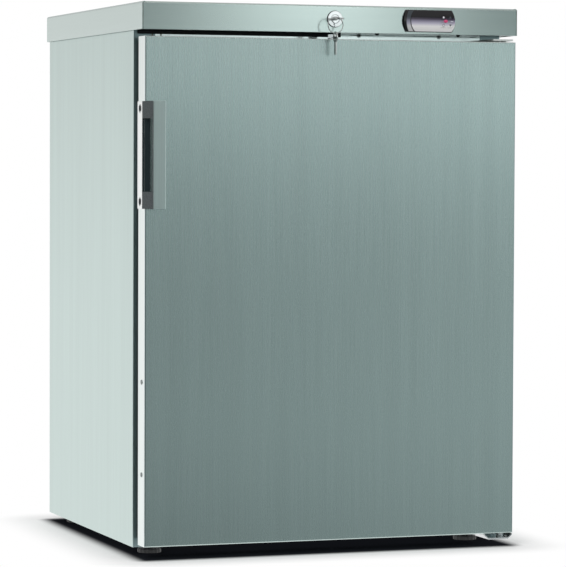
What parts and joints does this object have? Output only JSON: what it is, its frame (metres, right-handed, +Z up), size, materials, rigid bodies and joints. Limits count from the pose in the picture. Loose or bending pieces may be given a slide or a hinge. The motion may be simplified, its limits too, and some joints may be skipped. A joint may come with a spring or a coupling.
{
  "type": "undercounter refrigerator",
  "caption": "Steel undercounter refrigerator with a folded worktop, a lockable right-hinged door, a digital controller in its front skirt and levelling feet.",
  "frame": {"origin": "on the floor, in the middle of the width and of the overall depth", "axes": "+X to the right seen from the front, +Y to the back, +Z up"},
  "size_m": [0.6, 0.611, 0.826],
  "materials": {
    "brushed_stainless": "vertical brushed grain",
    "handle_metal": "satin",
    "zinc_steel": "zinc plated",
    "white_liner": "satin thermoformed",
    "insulating_foam": "closed-cell foam",
    "chromed_wire": "bright",
    "roll_bond": "satin",
    "chipboard": "raw",
    "dark_fastener": "blackened",
    "black_plastic": "moulded",
    "plug_plastic": "moulded",
    "controller_black": "polished",
    "display_tint": "polished tinted",
    "lock_chrome": "bright",
    "gasket_grey": "matt",
    "handle_dark": "satin",
    "black_enamel": "gloss",
    "black_rubber": "matt",
    "copper": "drawn"
  },
  "bodies": {
    "cabinet": {"side_panel_left": "brushed_stainless", "side_panel_right": "brushed_stainless", "worktop_cap": "brushed_stainless", "top_panel": "zinc_steel", "base_pan": "zinc_steel", "back_panel": "zinc_steel", "control_tray": "zinc_steel", "foot_sockets": "zinc_steel", "upper_hinge_bracket": "zinc_steel", "lower_hinge_bracket": "zinc_steel", "inner_liner": "white_liner", "fan_housing": "white_liner", "shelf_supports": "white_liner", "insulation_foam": "insulating_foam", "wire_shelves": "chromed_wire", "fan_guard": "chromed_wire", "evaporator_plate": "roll_bond", "worktop_board": "chipboard", "cabinet_screws": "dark_fastener", "fan_motor": "black_plastic", "controller_housing": "black_plastic", "terminal_box": "black_plastic", "condenser_clips": "black_plastic", "condensate_drain": "black_plastic", "power_inlet": "black_plastic", "rear_spacers": "black_plastic", "controller_bezel": "controller_black", "display_window": "display_tint", "lock_housing": "lock_chrome", "compressor": "black_enamel", "condenser": "black_enamel", "compressor_mounts": "black_rubber", "refrigerant_pipes": "copper", "filter_drier": "copper"},
    "door": {"door_skin": "brushed_stainless", "door_foam": "insulating_foam", "door_liner": "white_liner", "door_gasket": "gasket_grey", "hinge_bushes": "black_plastic", "lock_striker": "zinc_steel", "handle_side_plate": "handle_metal", "handle_legs": "handle_dark", "handle_grip": "handle_metal", "handle_screws": "dark_fastener", "handle_hole_plugs": "plug_plastic"},
    "lock": {"lock_plug": "lock_chrome", "lock_cam": "zinc_steel", "key_in_lock": "lock_chrome"},
    "ring": {"key_ring": "lock_chrome"},
    "second_key": {"spare_key": "lock_chrome"},
    "fan": {"fan_rotor": "black_plastic"},
    "up_key": {"button_up": "controller_black"},
    "down_key": {"button_down": "controller_black"},
    "set_key": {"button_set": "controller_black"},
    "power_key": {"button_power": "controller_black"},
    "front_left_foot": {"foot_front_left": "black_plastic"},
    "front_right_foot": {"foot_front_right": "black_plastic"},
    "rear_left_foot": {"foot_rear_left": "black_plastic"},
    "rear_right_foot": {"foot_rear_right": "black_plastic"}
  },
  "joints": [
    {"name": "door_hinge", "type": "hinge", "parent": "cabinet", "child": "door", "pos_m": [0.2845, -0.2535, 0.3975], "axis": [0, 0, 1], "range_deg": [0, 118]},
    {"name": "lock_turn", "type": "hinge", "parent": "cabinet", "child": "lock", "pos_m": [0.0017, -0.2695, 0.805], "axis": [0, 1, 0], "range_deg": [0, 90]},
    {"name": "ring_swing", "type": "hinge", "parent": "lock", "child": "ring", "pos_m": [-0.00489, -0.2905, 0.805], "axis": [0, 1, 0], "range_deg": [-12, 90]},
    {"name": "spare_key_swing", "type": "hinge", "parent": "ring", "child": "second_key", "pos_m": [-0.00489, -0.2905, 0.78305], "axis": [1, 0, 0], "range_deg": [-80, 8]},
    {"name": "fan_spin", "type": "hinge", "parent": "cabinet", "child": "fan", "pos_m": [0, 0.16, 0.645], "axis": [0, 1, 0], "continuous": true},
    {"name": "key_up_press", "type": "slide", "parent": "cabinet", "child": "up_key", "axis": [0, 1, 0], "range_m": [0, 0.0008], "stiffness_N_per_m": 400},
    {"name": "key_down_press", "type": "slide", "parent": "cabinet", "child": "down_key", "axis": [0, 1, 0], "range_m": [0, 0.0008], "stiffness_N_per_m": 400},
    {"name": "key_set_press", "type": "slide", "parent": "cabinet", "child": "set_key", "axis": [0, 1, 0], "range_m": [0, 0.0008], "stiffness_N_per_m": 400},
    {"name": "key_power_press", "type": "slide", "parent": "cabinet", "child": "power_key", "axis": [0, 1, 0], "range_m": [0, 0.0008], "stiffness_N_per_m": 400},
    {"name": "foot_front_left_level", "type": "slide", "parent": "cabinet", "child": "front_left_foot", "axis": [0, 0, -1], "range_m": [0, 0.008]},
    {"name": "foot_front_right_level", "type": "slide", "parent": "cabinet", "child": "front_right_foot", "axis": [0, 0, -1], "range_m": [0, 0.008]},
    {"name": "foot_rear_left_level", "type": "slide", "parent": "cabinet", "child": "rear_left_foot", "axis": [0, 0, -1], "range_m": [0, 0.008]},
    {"name": "foot_rear_right_level", "type": "slide", "parent": "cabinet", "child": "rear_right_foot", "axis": [0, 0, -1], "range_m": [0, 0.008]}
  ]
}
